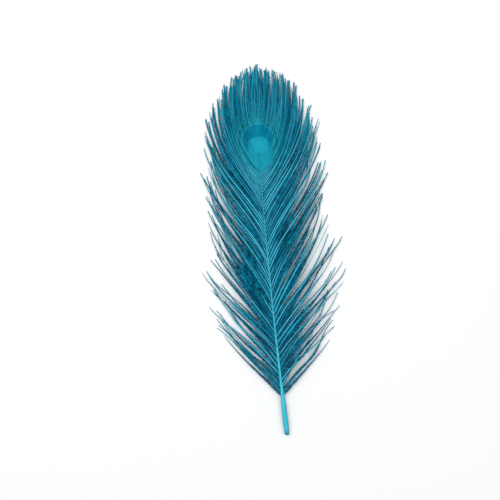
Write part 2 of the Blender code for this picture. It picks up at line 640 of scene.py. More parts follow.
@dataclass
class Vane:
    """The barbs on one side of the shaft."""

    side: Side
    plan: Plan
    growth: Growth
    seed: int
    eye_reach: tuple = (17.0 * MM, 26.0 * MM)  # half width and half length of the web round the eye
    eye_shift: float = 1.0 * MM  # how far its middle lies beyond the pupil's
    rest: float = 0.35 * MM  # lowest height of a barb's middle
    web_fade: tuple = (1.15, 0.85)  # where the web starts and is whole, as shares of its reach
    longest: float = 0.25  # share of its disorder by which a barb may be too long
    proud: float = 3.0 * MM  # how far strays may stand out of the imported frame's width
    ease: float = 8.0 * MM  # how far inside that limit they start to be held in
    sunk: float = 0.7  # share of the shaft's radius at which a barb begins
    perch: float = 0.25  # how far above the shaft's middle it begins, as a share of the radius
    tip_turn: float = 1.5  # how much more a stray barb's tip turns than its root
    droop: tuple = (1.5, 2.8)  # the least and greatest power of its fall
    tip_rise: float = 0.6 * MM  # how high above rest a tip may lie

    def grow(self) -> Barbs:
        """Grows all barbs of the vane.

        Seen from above, a barb is a Hermite curve from the shaft to its tip, whose two headings
        and end come from the plan with some disorder. A slow wave and a pull towards the middle of
        its lock grow along it. Its height falls from the shaft to the surface as a power of the
        share along it, plus a low hump.

        Returns:
            The barbs, from the lowest up.
        """
        plan, growth = self.plan, self.growth
        rng = np.random.default_rng(self.seed)
        root = growth.roots(rng)
        count, t = len(root), np.linspace(0.0, 1.0, growth.stations)
        spread = {name: through(getattr(growth, name), growth.along, root)
                  for name in ("stray_heading", "stray_length", "wave", "splay", "lift", "own", "full")}
        own = spread["own"]
        start = np.stack([self.sunk * plan.shaft_radius(root), root], -1)
        tip = np.stack([plan.at_barb(plan.tip_out, root) * plan.half_width,
                        plan.at_barb(plan.tip_along, root) * plan.length], -1) - start
        reach = np.linalg.norm(tip, axis=1)
        reach *= 1 + spread["stray_length"] * (self.longest - np.abs(rng.normal(size=count)))
        turn = self.side.value * np.radians(plan.barb_turn)
        turn = turn + spread["stray_heading"] * growth.disorder(own, rng)
        end = start + toward(np.arctan2(*tip.T) + turn, reach)
        leave = toward(np.radians(plan.at_barb(plan.barb_heading, root)) + turn, reach)
        heading = np.radians(plan.at_barb(plan.tip_heading, root)) + self.tip_turn * turn
        arrive = toward(heading, reach)
        flat = (
            start[:, None] * ((1 + 2 * t) * (1 - t) ** 2)[:, None]
            + leave[:, None] * (t * (1 - t) ** 2)[:, None]
            + end[:, None] * (t**2 * (3 - 2 * t))[:, None]
            + arrive[:, None] * (t**2 * (t - 1))[:, None]
        )
        lock = growth.locks(count, rng)
        sums = np.stack([np.bincount(lock, end[:, k]) for k in (0, 1)], -1)
        middle = (sums / np.maximum(np.bincount(lock), 1)[:, None])[lock]
        pull = growth.clump * (middle - end) * (1.0, growth.clump_along)
        flat += pull[:, None] * eased(growth.clump_from, 1.0, t)[:, None]
        flat += self._waves(flat, spread["wave"], spread["splay"], own, t, rng)
        height = self._heights(root, spread["lift"], t, rng)
        shaft = plan.shaft_line(flat[..., 1])
        x = self._held_in(shaft[..., 0] + self.side.value * flat[..., 0])
        paths = np.stack([x, plan.cut[1] + flat[..., 1], height], -1)
        chance = (np.arange(count) % 2 + rng.uniform(size=count)) / 2
        return Barbs(paths, chance, spread["full"], self._web(paths))

    def _waves(
        self, flat: Array, size: Array, splay: Array, own: Array, t: Array, rng: np.random.Generator
    ) -> Array:
        """Sideways waves along the barbs.

        Each barb takes its own amounts of three shapes: a bend that grows as a power of the share t
        along it, a belly that is t times a half sine, and a ripple that is t times one and a half
        waves. A fourth grows as the fourth power and splays the tips.

        Args:
            flat: the barbs' points, seen from above.
            size: the waves' size for each barb.
            splay: the size of the fourth shape for each barb.
            own: the share of its amounts that a barb doesn't share with its neighbours.
            t: the share along the barbs at each station.
            rng: where the draws come from.

        Returns:
            What to add to flat.
        """
        bend, belly, ripple = 1.8, 0.8, 0.35
        shapes = (t**bend, belly * t * np.sin(np.pi * t), ripple * t * np.sin(3 * np.pi * t))
        amounts = [self.growth.disorder(own, rng) for _ in shapes]
        offset = size[:, None] * sum(a[:, None] * shape for a, shape in zip(amounts, shapes))
        offset += (splay * rng.normal(size=len(flat)))[:, None] * t**4
        ahead = unit(np.gradient(flat, axis=1))
        return offset[..., None] * np.stack([ahead[..., 1], -ahead[..., 0]], -1)

    def _held_in(self, x: Array) -> Array:
        """Draws the strays in: past a knee, a point's distance nears its limit as tanh does.

        Args:
            x: sideways places of points.

        Returns:
            The places drawn in, none further out than the limit.
        """
        limit = self.plan.half_width + self.proud
        knee = limit - self.ease
        return np.sign(x) * np.where(
            np.abs(x) > knee, knee + self.ease * np.tanh((np.abs(x) - knee) / self.ease), np.abs(x)
        )

    def _heights(self, root: Array, lift: Array, t: Array, rng: np.random.Generator) -> Array:
        """Heights along the barbs: down from the shaft to the surface, over a low hump.

        The fall is a power of the share t along the barb, and the hump a squared half sine of t,
        drawn a little towards the shaft.

        Args:
            root: where the barbs leave the shaft.
            lift: the most that each one's hump may be.
            t: the share along the barbs at each station.
            rng: where the draws come from.

        Returns:
            A height for each station of each barb.
        """
        count, hump_power = len(root), 0.8
        high = self.plan.shaft_line(root)[:, 2] + self.perch * self.plan.shaft_radius(root)
        tip = self.rest + self.tip_rise * rng.uniform(size=count)
        fall = 1 - t ** rng.uniform(*self.droop, count)[:, None]
        hump = lift[:, None] * rng.uniform(size=(count, 1)) * np.sin(np.pi * t**hump_power) ** 2
        return np.maximum(tip[:, None] + (high - tip)[:, None] * fall + hump, self.rest)

    def _web(self, paths: Array) -> Array:
        """How far points are in the oval web round the eye.

        Args:
            paths: points of barbs.

        Returns:
            1 for a point well inside it, 0 for one well outside it.
        """
        x, y = self.plan.eye()
        from_middle = (paths[..., :2] - (x, y + self.eye_shift)) / self.eye_reach
        return eased(*self.web_fade, np.linalg.norm(from_middle, axis=-1))


@dataclass(frozen=True)
class Stems:
    """The stems of barbs, each with the thin flue of clinging barbules that it carries.

    Some stems are bold and some are fine, by chance. Round the eye the flues are zipped into one
    web and lap under each other.
    """

    share_at: tuple = (0.0, 0.2, 0.65, 1.0)
    half: tuple = (0.24 * MM, 0.22 * MM, 0.18 * MM, 0.08 * MM)  # half width of the stem
    flue: tuple = (0.35 * MM, 0.48 * MM, 0.36 * MM, 0.18 * MM)  # half width of a loose barb's flue
    full_flue: tuple = (0.42 * MM, 0.66 * MM, 0.70 * MM, 0.30 * MM)  # the same round the eye
    fine: float = 0.75  # a fine stem's width as a share of that
    bold: float = 1.3  # the same for a bold one
    bold_chance: tuple = (0.45, 0.85)  # chances at which a stem is still fine, and fully bold
    depth: float = 0.9  # height of the stem's ridge and of its keel, as a share of its half width
    stem_share: float = 0.26  # most that a stem's half width is, as a share of the pitch
    flue_share: float = 0.64  # the same for its flue
    web_share: float = 0.85  # the same for its flue in the web
    least_pitch: float = 0.35 * MM
    web_tilt: float = 0.12  # radians that a flue leans, so that each laps under the next
    tip_taper: float = 0.06  # share of the barb over which the tip comes to a point
    tip_blunt: float = 0.15  # share of the width that is left there

    # right edge, the ridge's two shoulders, left edge, and the keel below
    PROFILE = np.array(((1.0, 0.0), (0.2, 1.0), (-0.2, 1.0), (-1.0, 0.0), (-0.2, -1.0), (0.2, -1.0)))

    def surface(self, barbs: Barbs, side: Side) -> Surface:
        """Carries the stem's profile along each barb, spread sideways as wide as its flue.

        Args:
            barbs: the barbs.
            side: their vane, which says which edge of a flue is the upper one.

        Returns:
            One closed strand for each barb.
        """
        t = barbs.share
        taper = np.clip((1 - t) / self.tip_taper, self.tip_blunt, 1)
        stem = np.broadcast_to(through(self.half, self.share_at, t) * taper, barbs.web.shape)
        pitch = np.maximum(barbs.pitch(), self.least_pitch)
        stem = np.minimum(stem, self.stem_share * pitch)
        bold = eased(*self.bold_chance, barbs.chance)[:, None]
        stem = stem * (self.fine + (self.bold - self.fine) * bold)
        loose, full = (through(flue, self.share_at, t) for flue in (self.flue, self.full_flue))
        flue = (loose + np.maximum(barbs.full, 0.0)[:, None] * (full - loose)) * taper
        flue = np.minimum(flue, self.flue_share * pitch)
        half = np.maximum(stem, flue + barbs.web * (self.web_share * pitch - flue))
        lean = np.full((*half.shape, 1), side.value * self.web_tilt)
        across = barbs.across * np.cos(lean) + barbs.above * np.sin(lean)
        above = barbs.above * np.cos(lean) - barbs.across * np.sin(lean)
        points, quads = tubes(barbs.paths, across, above, self.PROFILE, half, self.depth * stem)
        around = np.broadcast_to(self.PROFILE[:, 0], points.shape[:3])
        share = np.broadcast_to(t[None, :, None], around.shape)
        spread = np.broadcast_to((1 - stem / half)[..., None], around.shape)
        chance = np.broadcast_to(barbs.chance[:, None, None], around.shape)
        number = np.broadcast_to(np.arange(len(barbs.paths))[:, None, None], around.shape)
        data = np.stack([share, np.abs(around) * spread, chance], -1)
        uv = barbs.uv(number, share, around * (STEM_ON_MAP + (1 - STEM_ON_MAP) * spread))
        return Surface(
            points.reshape(-1, 3), quads, NO_TRIANGLES, data.reshape(-1, 3), uv.reshape(-1, 2)
        )


@dataclass(frozen=True)
class Barbules:
    """The hair-fine barbules that stand off both sides of free barbs.

    They are as long as it takes to lap over the gap to the next barb, within limits. Towards the
    tip of the barb they are shorter and lie closer to it, and the lowest barbs' are shorter all along.
    """

    lap: float = 1.7  # length near the shaft, as a share of the barbs' pitch
    limits: tuple = (1.0 * MM, 3.0 * MM)
    spacing: tuple = (0.200 * MM, 0.155 * MM)  # at those two lengths
    share_at: tuple = (0.0, 0.3, 0.65, 1.0)
    shorter: tuple = (1.0, 1.0, 0.55, 0.25)  # on a loose barb
    full: tuple = (1.0, 1.0, 0.95, 0.48)  # round the eye
    scant: float = 0.55  # share of its length that a barbule lacks where full is -1
    ends: tuple = (0.004, 0.995)  # shares along the barb between which barbules stand
    unzipped: tuple = (0.2, 0.7)  # where in the web's edge the last barbules still stand out
    angle: tuple = (46.0, 42.0, 33.0, 22.0)  # degrees between barbule and barb
    angle_spread: tuple = (0.75, 1.2)  # the least and greatest share of that angle
    length_spread: tuple = (0.7, 1.15)  # the same for the length
    lean: tuple = (-0.22, 0.08)  # slope above the barb, from the lowest to the highest
    slender: float = 0.11  # width as a share of the length
    least_width: float = 0.20 * MM
    widest_at: float = 0.55
    ridge: float = 0.04 * MM  # how far its edges hang below it
    clearance: float = 0.05 * MM  # least height above the surface
    seed: int = 5

    FACES = np.array(((0, 1, 2), (0, 3, 1), (0, 2, 3), (1, 3, 2)))
    OUTWARD = np.array((0.5, 1.0, 0.6, 0.6))  # how far out root, tip and both edges count

    def surface(self, barbs: Barbs) -> Surface:
        """Sets a closed needle, four faces like a narrow roof, at every step along both sides.

        Its root lies on the stem. It leans forward by the angle, give or take the spread, and a
        little up or down.

        Args:
            barbs: the barbs.

        Returns:
            The needles of all barbs.
        """
        rng = np.random.default_rng(self.seed)
        lapping = np.clip(self.lap * barbs.pitch(), *self.limits)
        steps = barbs.reach / np.interp(lapping.mean(axis=1), self.limits, self.spacing)
        ranks = np.arange(int(steps.max()))
        shares = (ranks + rng.uniform(size=(2, len(steps), len(ranks)))) / steps[:, None]
        hand, barb, rank = np.nonzero((shares > self.ends[0]) & (shares < self.ends[1]))
        share = shares[hand, barb, rank]
        free = barbs.at(barbs.web, barb, share) < rng.uniform(*self.unzipped, len(share))
        barb, share, hand = barb[free], share[free], (2 * hand - 1)[free]
        root, ahead, across, above = (
            barbs.at(f, barb, share) for f in (barbs.paths, barbs.ahead, barbs.across, barbs.above)
        )
        angle = np.radians(through(self.angle, self.share_at, share))
        angle = (angle * rng.uniform(*self.angle_spread, len(share)))[:, None]
        lean = rng.uniform(*self.lean, (len(share), 1))
        heading = np.cos(angle) * ahead + np.sin(angle) * hand[:, None] * across + lean * above
        heading = unit(heading)
        length = barbs.at(lapping, barb, share) * rng.uniform(*self.length_spread, len(share))
        shorter = through(self.shorter, self.share_at, share)
        full = through(self.full, self.share_at, share)
        fullness = barbs.full[barb]
        length *= shorter + np.maximum(fullness, 0.0) * (full - shorter)
        length *= 1 + self.scant * np.minimum(fullness, 0.0)
        width = np.maximum(self.slender * length, self.least_width)
        edge = unit(np.cross(heading, above)) * width[:, None] / 2
        middle = root + self.widest_at * length[:, None] * heading - self.ridge * above
        points = np.stack([root, root + length[:, None] * heading, middle - edge, middle + edge], 1)
        points[..., 2] = np.maximum(points[..., 2], self.clearance)
        faces = 4 * np.arange(len(share))[:, None, None] + self.FACES
        chance = barbs.chance[barb][:, None]
        data = np.stack(np.broadcast_arrays(share[:, None], self.OUTWARD, chance), -1)
        along = ((points - root[:, None]) * ahead[:, None]).sum(-1) / barbs.reach[barb][:, None]
        cross = hand[:, None] * (STEM_ON_MAP + (1 - STEM_ON_MAP) * self.OUTWARD)
        uv = barbs.uv(barb[:, None], share[:, None] + along, cross)
        return Surface(
            points.reshape(-1, 3), NO_QUADS, faces.reshape(-1, 3), data.reshape(-1, 3), uv.reshape(-1, 2)
        )


# --------------------------------------------------------------------------- shaft


@dataclass(frozen=True)
class Shaft:
    """The quill and the rachis: round and hollow at the cut, squarer and grooved below further up."""

    plan: Plan
    around: int = 32
    stations: int = 150
    closer: float = 1.2  # above 1 the stations stand closer together near the cut
    hollow_depth: float = 1.5 * MM
    wall: float = 0.34  # share of the radius at the cut
    bevel: float = 0.08 * MM
    squared_along: tuple = (0.03, 0.09)  # where the quill starts to turn into the rachis, and ends
    squareness: float = 1.3  # what the rachis adds to a circle's power of 2
    slimness: float = 0.08  # share of the radius that the rachis lacks
    groove: float = 0.34  # depth as a share of the radius
    groove_half: float = 0.42  # radians from its middle to where it fades
    tip: float = 1.5 * MM  # length of the thread's point
    tip_taper: float = 0.9  # share of the radius that it loses
    pith_face: float = 0.45 * MM  # how far inside the cut the pith begins
    pith_gap: float = 0.05 * MM  # between the plug's back and the floor of the hollow
    dome_depth: tuple = (0.0, 0.04 * MM, 0.10 * MM, 0.2 * MM)
    dome_radius: tuple = (0.15, 0.55, 0.85, 0.97, 0.97)  # shares of the hollow's, to the plug's back

    def _frame(self, along: Array) -> tuple[Array, Array, Array]:
        """The centre line and its directions as one path of stations.

        Args:
            along: distances from the cut end.

        Returns:
            The line's points, and unit vectors across it and above it, (1, M, 3) each.
        """
        step = 0.1 * MM
        line = self.plan.shaft_line(along)
        ahead = unit(self.plan.shaft_line(along + step) - self.plan.shaft_line(along - step))
        across = unit(np.cross(ahead, UP))
        return line[None], across[None], np.cross(across, ahead)[None]

    def _profiles(self, along: Array) -> Array:
        """The section at each station, about a unit circle.

        In polar form it is a superellipse, whose power rises from 2 at the quill, less a bell
        shaped groove in its underside.

        Args:
            along: the stations' distances from the cut end.

        Returns:
            Profile points, (M, K, 2).
        """
        angle = 2 * np.pi * np.arange(self.around) / self.around
        grown = eased(*self.squared_along, along)[:, None]
        power = 2 + self.squareness * grown
        rounded = np.abs(np.cos(angle)) ** power + np.abs(np.sin(angle)) ** power
        reach = rounded ** (-1 / power) * (1 - self.slimness * grown)
        below = (angle - 1.5 * np.pi) / self.groove_half
        reach = reach * (1 - self.groove * grown * np.exp(-(below**2)))
        return reach[..., None] * np.stack([np.cos(angle), np.sin(angle)], -1)

    def surface(self) -> Surface:
        """The shaft's skin: the profiles carried along the centre line.

        It starts at the floor of the hollow in the cut end and runs out over the rim to the tip.

        Returns:
            One closed skin.
        """
        length = self.plan.shaft_length
        outside = length * np.linspace(0.0, 1.0, self.stations) ** self.closer
        along = np.concatenate([[self.hollow_depth, self.bevel, 0.0, 0.0], outside + self.bevel])
        radius = self.plan.shaft_radius(along)
        radius[:3] *= 1 - self.wall
        radius[2] += self.bevel / 2
        radius[3] -= self.bevel
        radius *= 1 - self.tip_taper * eased(length - self.tip, length, along)
        line, across, above = self._frame(along)
        profile = self._profiles(along)
        points, quads = tubes(line, across, above, profile, radius[None], radius[None])
        turn = 2 * np.pi * np.arange(self.around) / self.around
        height = np.broadcast_to(np.sin(turn), points.shape[:3])
        share = np.broadcast_to((along / length)[None, :, None], height.shape)
        data = np.stack([share, height / 2 + 0.5, np.zeros_like(share)], -1)
        u = np.linspace(0.01, 0.99, len(along))[None, :, None]
        uv = np.stack([np.broadcast_to(u, height.shape), 0.5 + 0.48 * height], -1)
        return Surface(
            points.reshape(-1, 3), quads, NO_TRIANGLES, data.reshape(-1, 3), uv.reshape(-1, 2)
        )

    def pith(self) -> Surface:
        """A plug of dried pith, a little inside the cut: a circle carried over a low dome.

        Returns:
            The closed plug.
        """
        back = self.hollow_depth - self.pith_gap
        along = np.array([self.pith_face + depth for depth in self.dome_depth] + [back])
        radius = self.plan.shaft_radius(along) * (1 - self.wall) * self.dome_radius
        line, across, above = self._frame(along)
        angle = 2 * np.pi * np.arange(self.around) / self.around
        circle = np.stack([np.cos(angle), np.sin(angle)], -1)
        points, quads = tubes(line, across, above, circle, radius[None], radius[None])
        points = points.reshape(-1, 3)
        margin = 1.1
        uv = (points[:, (0, 2)] - line[0, 0, (0, 2)]) / (2 * margin * max(radius)) + 0.5
        return Surface(points, quads, NO_TRIANGLES, np.zeros_like(points), uv)


# --------------------------------------------------------------------------- finishes


@dataclass(frozen=True)
class EyeRings:
    """The eye's pattern: a notched pupil under a deep disc with a light rim, in a pointed egg.

    Lengths are in millimetres from the middle of the pupil. A pair of lengths is where something
    is still absent and where it is whole, and lengths down towards the quill are negative.
    """

    middle: tuple[float, float]  # metres
    waver: float = 1.6  # how far the pattern strays from its place
    waver_waves: float = 140.0  # to a metre
    barb_shift: float = 0.9  # how far each barb shifts it along
    pupil: tuple = (8.0, 8.1)
    pupil_power: float = 2.6
    notch: tuple = (2.0, 0.9)  # half width, and depth as a share of the pupil
    notch_from: tuple = (-2.5, -7.5)
    disc_up: float = 6.2
    disc: float = 11.6
    disc_from: tuple = (-4.5, -1.5)
    egg: tuple = (13.8, 13.8, 24.5)  # reach to the sides, towards the fringe and towards the quill
    egg_power: float = 1.8
    fray: float = 3.0  # how far the barbs shift the egg's edge
    upper: tuple = (-5.0, 5.0)  # the half that has rings round the egg and the disc
    border_from: tuple = (-20.0, 0.0)
    glow_from: tuple = (-3.0, -10.0)
    glow_half: float = 9.0

    # Where edges and rings lie, as shapes' measures. An edge is where a shape starts and is whole,
    # and a ring is its middle, its half width and its strength.
    pupil_rim: tuple = (1.06, 0.95)
    pupil_inside: tuple = (0.95, 0.35)
    disc_rim: tuple = (1.04, 0.94)
    disc_ring: tuple = (1.06, 0.035, 0.8)
    egg_rim: tuple = (1.08, 0.92)
    inner_ring: tuple = (1.07, 0.045, 0.9)
    outer_ring: tuple = (1.17, 0.055, 0.6)
    border_rim: tuple = (2.0, 1.15)
    border_share: float = 0.7
    streak_rim: tuple = (1.5, 0.9)
    streak_out: tuple = (0.45, 0.12)  # distances out from the stem
    streak_chance: tuple = (0.4, 0.6)
    streak_share: float = 0.5
    pupil_heart: tuple = srgb(30, 164, 188)
    pupil_edge: tuple = srgb(23, 154, 180)
    deep: tuple = srgb(6, 124, 156)
    ring: tuple = srgb(30, 154, 178)
    bronze: tuple = srgb(10, 134, 158)
    glow: tuple = srgb(10, 147, 168)
    streak: tuple = srgb(60, 180, 198)
    dark_ring: tuple = srgb(0, 70, 92)
    pale_ring: tuple = srgb(30, 146, 162)
    border: tuple = srgb(16, 132, 154)

    def paint(self, nodes: Nodes, base: Value, flue: Value, chance: Value) -> Value:
        """Lays the rings over the barbs' own colour.

        Each shape has a measure that is 1 on its outline. The pupil is a superellipse whose
        measure grows in a bell-shaped notch towards the quill. The disc is a circle set towards
        the fringe. The egg is a superellipse with a longer reach towards the quill. Each barb
        shifts the pattern a little, which frays its edges along the barbs.

        Args:
            nodes: the material's nodes.
            base: the colour of the barbs without an eye.
            flue: the distance out from the stem, 0 to 1.
            chance: the barb's chance.

        Returns:
            The colour with the eye.
        """
        x, y, _ = nodes.parts(nodes.place())
        waver = (nodes.noise(nodes.place(), self.waver_waves) - 0.5) * self.waver
        x = (x - self.middle[0]) / MM + waver
        y = (y - self.middle[1]) / MM + waver + (chance - 0.5) * self.barb_shift
        power = self.pupil_power
        notch = x.bell(self.notch[0]) * y.eased(*self.notch_from) * self.notch[1]
        pupil = abs(x / self.pupil[0]) ** power + abs(y / self.pupil[1]) ** power
        pupil = pupil ** (1 / power) + notch
        raised = y - self.disc_up
        disc = (x * x + raised * raised).root() / self.disc
        frayed = raised + (chance - 0.5) * self.fray
        along = frayed.most(0.0) / self.egg[1] + (-frayed).most(0.0) / self.egg[2]
        power = self.egg_power
        egg = (abs(x / self.egg[0]) ** power + along**power) ** (1 / power)
        upper = y.eased(*self.upper)
        border = egg.eased(*self.border_rim) * y.eased(*self.border_from)
        colour = nodes.mix(border * self.border_share, base, self.border)
        colour = nodes.mix(self._ring(egg, self.outer_ring) * upper, colour, self.pale_ring)
        colour = nodes.mix(self._ring(egg, self.inner_ring) * upper, colour, self.dark_ring)
        glow = y.eased(*self.glow_from) * x.bell(self.glow_half)
        bronze = nodes.mix(glow, self.bronze, self.glow)
        colour = nodes.mix(egg.eased(*self.egg_rim), colour, bronze)
        lit = flue.eased(*self.streak_out) * chance.eased(*self.streak_chance)
        lit = lit * egg.eased(*self.streak_rim)
        colour = nodes.mix(lit * self.streak_share, colour, self.streak)
        deep = disc.eased(*self.disc_rim) * y.eased(*self.disc_from)
        colour = nodes.mix(deep, colour, self.deep)
        colour = nodes.mix(self._ring(disc, self.disc_ring) * upper, colour, self.ring)
        heart = nodes.mix(pupil.eased(*self.pupil_inside), self.pupil_edge, self.pupil_heart)
        return nodes.mix(pupil.eased(*self.pupil_rim), colour, heart)

    @staticmethod
    def _ring(measure: Value, ring: tuple) -> Value:
        """A bell curve about the ring's middle, as high as its strength."""
        middle, half, strength = ring
        return (measure - middle).bell(half) * strength


@dataclass(frozen=True)
class BarbFinish:
    """Dyed barbs: light stems, darker barbules, painted shade at the flues' edges and between barbs,
    faded tips, and the eye where they cross it.
    """

    name: str
    eye: EyeRings
    ribs: float = 560.0  # barbules that show along the whole of a flue
    rib_slant: float = 7.5  # barbules that one crosses on its way out of the stem
    rib_out: tuple = (0.05, 0.25)  # distances out from the stem where they start and are full
    rib_height: float = 0.03 * MM
    streak_waves: tuple = (15.0, 90.0, 0.8)  # along a barb, from barb to barb, out of the stem
    speck_waves: float = 1400.0  # to a metre
    speck_share: float = 0.35  # of the tone, the rest being streaks
    bright_tone: tuple = (0.38, 0.62)
    # painted shade towards the edges of flues and the tips of barbules
    shaded_out: tuple = (0.4, 1.0)
    shaded_share: float = 0.6
    # painted shade: dark patches in the gaps between loose barbs below the eye
    shade_patch_waves: float = 330.0  # to a metre
    shade_patch_from: tuple = (0.46, 0.62)
    shade_patch_out: tuple = (0.2, 0.7)
    shade_patch_share: float = 0.8
    eye_fade: tuple = (12.0, -20.0)  # millimetres along from the pupil, from above the eye to below
    pale_stems: tuple = (0.42, 0.74)  # chances at which a stem is still dull, and fully pale
    eye_paleness: float = 0.4  # how pale the palest stems stay round the eye
    stem_out: tuple = (0.45, 0.12)
    stem_share: float = 0.95
    old: tuple = (0.60, 1.08)  # shares along the barb where its dye has kept, and is all faded
    old_stray: float = 0.3  # by how much that differs among barbs
    old_share: float = 0.75
    brown_chance: tuple = (0.88, 0.97)
    brown_share: float = 0.6
    shade: tuple = (0.61, 0.28, 0.28, 0.24)  # the least, and what tone, chance and barbules add
    roughness: tuple = (0.48, 0.2)  # the least, and what tone adds
    stem: tuple = srgb(88, 198, 222)
    dull_stem: tuple = srgb(4, 96, 124)
    eye_stem: tuple = srgb(0, 96, 126)  # dull stems around and above the eye
    bright: tuple = srgb(3, 150, 187)
    dark: tuple = srgb(0, 62, 96)
    shaded: tuple = srgb(0, 60, 90)  # painted shade towards the edge of a flue and the tips of barbules
    deep: tuple = srgb(0, 22, 46)  # painted shade in the gaps between loose barbs
    faded: tuple = srgb(34, 154, 178)
    brown: tuple = srgb(84, 112, 104)
    gloss: tuple = srgb(60, 214, 232)

    def material(self) -> bpy.types.Material:
        """The material.

        Streaks along each barb and fine specks mix the dark and the bright dye. Painted shade darkens
        the edges of flues and the tips of barbules, and lies in dark patches between loose barbs below
        the eye. Stems are pale by chance, and tips are faded. The barbules that cling to a flue are a
        sine of the share along it, slanted by the distance out.

        Returns:
            The material.
        """
        nodes = Nodes(self.name)
        share, flue, chance = nodes.barb()
        lengthwise, among, outwards = self.streak_waves
        streaks = nodes.vector(share * lengthwise, chance * among, flue * outwards)
        speck = nodes.noise(nodes.place(), self.speck_waves)
        tone = nodes.noise(streaks, 1.0, 3.0) * (1 - self.speck_share) + speck * self.speck_share
        colour = nodes.mix(tone.eased(*self.bright_tone), self.dark, self.bright)
        # painted shade towards the edges of flues and the tips of barbules
        colour = nodes.mix(flue.eased(*self.shaded_out) * self.shaded_share, colour, self.shaded)
        below = self._below_eye(nodes)
        # painted shade: dark patches in the gaps between loose barbs below the eye
        hollow = nodes.noise(nodes.place(), self.shade_patch_waves).eased(*self.shade_patch_from)
        hollow = hollow * below * flue.eased(*self.shade_patch_out)
        colour = nodes.mix(hollow * self.shade_patch_share, colour, self.deep)
        dull = nodes.mix(below, self.eye_stem, self.dull_stem)
        pale = chance.eased(*self.pale_stems) * (below * (1 - self.eye_paleness) + self.eye_paleness)
        stem = nodes.mix(pale, dull, self.stem)
        colour = nodes.mix(flue.eased(*self.stem_out) * self.stem_share, colour, stem)
        old = (share + (chance - 0.5) * self.old_stray).eased(*self.old)
        colour = nodes.mix(old * self.old_share, colour, self.faded)
        brown = old * chance.eased(*self.brown_chance)
        colour = nodes.mix(brown * self.brown_share, colour, self.brown)
        colour = self.eye.paint(nodes, colour, flue, chance)
        rib = ((share * self.ribs - flue * self.rib_slant) * (2 * np.pi)).sine() * 0.5 + 0.5
        least, by_tone, by_chance, by_rib = self.shade
        shade = least + tone * by_tone + chance * by_chance + rib * flue.eased(*self.rib_out) * by_rib
        return nodes.dress(
            Base_Color=nodes.shaded(shade, colour),
            Roughness=self.roughness[0] + tone * self.roughness[1],
            Specular_IOR_Level=0.35,
            Specular_Tint=self.gloss,
            Sheen_Weight=0.08,
            Sheen_Roughness=0.35,
            Sheen_Tint=self.gloss,
            Normal=nodes.bump(rib, 0.5, self.rib_height),
        )

    def _below_eye(self, nodes: Nodes) -> Value:
        """1 below the eye, fading to 0 above it."""
        _, y, _ = nodes.parts(nodes.place())
        return ((y - self.eye.middle[1]) / MM).eased(*self.eye_fade)


